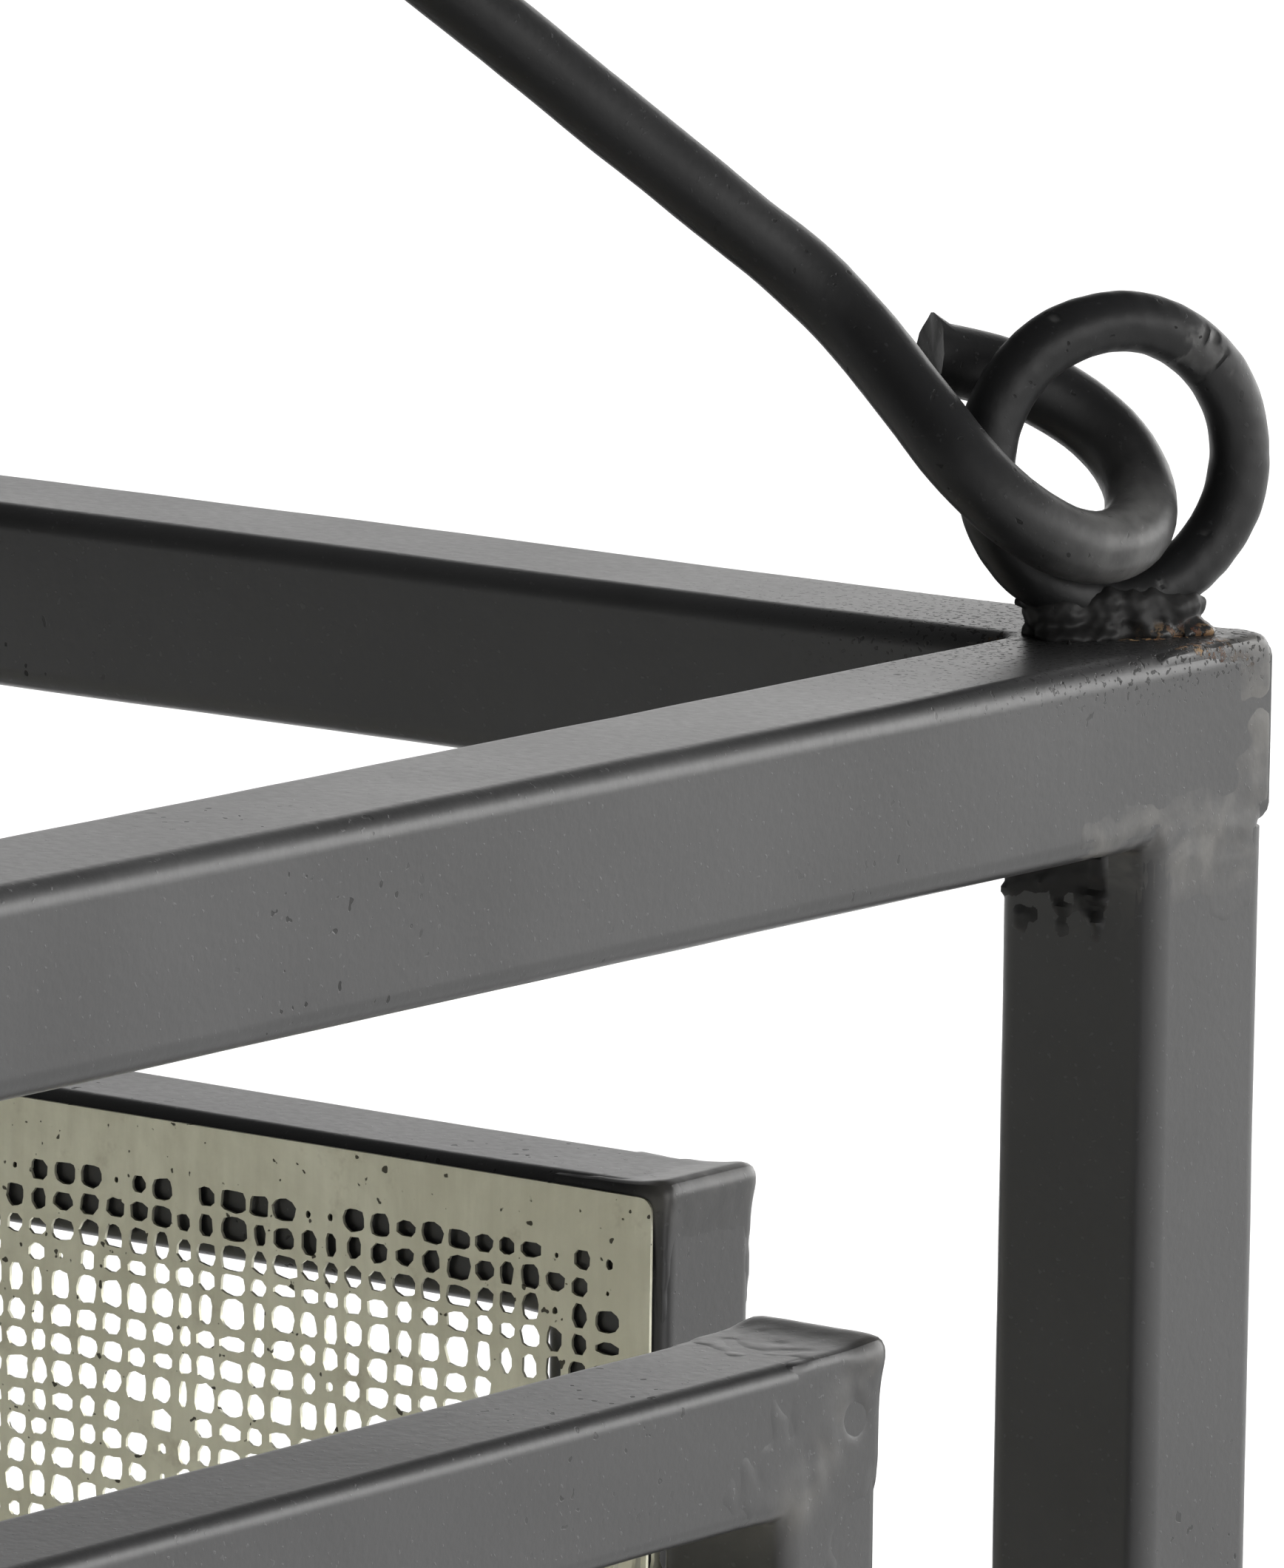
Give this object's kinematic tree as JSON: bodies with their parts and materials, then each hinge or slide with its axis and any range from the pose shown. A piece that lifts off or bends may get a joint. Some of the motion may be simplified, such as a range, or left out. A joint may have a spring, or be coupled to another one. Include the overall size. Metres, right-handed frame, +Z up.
{
  "type": "candle lantern",
  "caption": "Open square-tube lantern frame round etched metal screens, with a candle ring on its floor and a rod bail hung from two welded corner rings.",
  "frame": {"origin": "middle of the footprint, on the surface that the bottom rails stand on", "axes": "+Z up, +Y to the back, +X to the right; the two ring corners are back right and front left"},
  "size_m": [0.1823, 0.1823, 0.356],
  "materials": {
    "frame_paint": "dark graphite powder coat, semi-matte, with small pits and specks",
    "rod_paint": "black paint over bent rod, semi-matte",
    "etched_sheet": "aged nickel tone, dull, with small dark specks",
    "wax": "ivory candle wax, soft satin",
    "wick_cotton": "waxed braided cotton"
  },
  "bodies": {
    "frame": {"bottom_rail_front": "frame_paint", "bottom_rail_right": "frame_paint", "bottom_rail_back": "frame_paint", "bottom_rail_left": "frame_paint", "top_rail_front": "frame_paint", "top_rail_right": "frame_paint", "top_rail_back": "frame_paint", "top_rail_left": "frame_paint", "post_front_left": "frame_paint", "post_front_right": "frame_paint", "post_back_right": "frame_paint", "post_back_left": "frame_paint", "screen_front_bottom": "frame_paint", "screen_front_right": "frame_paint", "screen_front_top": "frame_paint", "screen_front_left": "frame_paint", "screen_front_sheet": "etched_sheet", "screen_right_bottom": "frame_paint", "screen_right_right": "frame_paint", "screen_right_top": "frame_paint", "screen_right_left": "frame_paint", "screen_right_sheet": "etched_sheet", "screen_back_bottom": "frame_paint", "screen_back_right": "frame_paint", "screen_back_top": "frame_paint", "screen_back_left": "frame_paint", "screen_back_sheet": "etched_sheet", "screen_left_bottom": "frame_paint", "screen_left_right": "frame_paint", "screen_left_top": "frame_paint", "screen_left_left": "frame_paint", "screen_left_sheet": "etched_sheet", "floor_plate": "frame_paint", "candle_ring": "frame_paint", "ring_back_right": "rod_paint", "ring_weld_back_right": "frame_paint", "ring_front_left": "rod_paint", "ring_weld_front_left": "frame_paint"},
    "bail": {"bail": "rod_paint"},
    "candle": {"candle": "wax", "wick": "wick_cotton"}
  },
  "joints": [
    {"name": "bail_swing", "type": "hinge", "parent": "frame", "child": "bail", "pos_m": [0, 0, 0.2744], "axis": [-0.7071, -0.7071, 0], "range_deg": [-3, 88]},
    {"name": "candle_lift", "type": "slide", "parent": "frame", "child": "candle", "axis": [0, 0, 1], "range_m": [0, 0.18]}
  ]
}
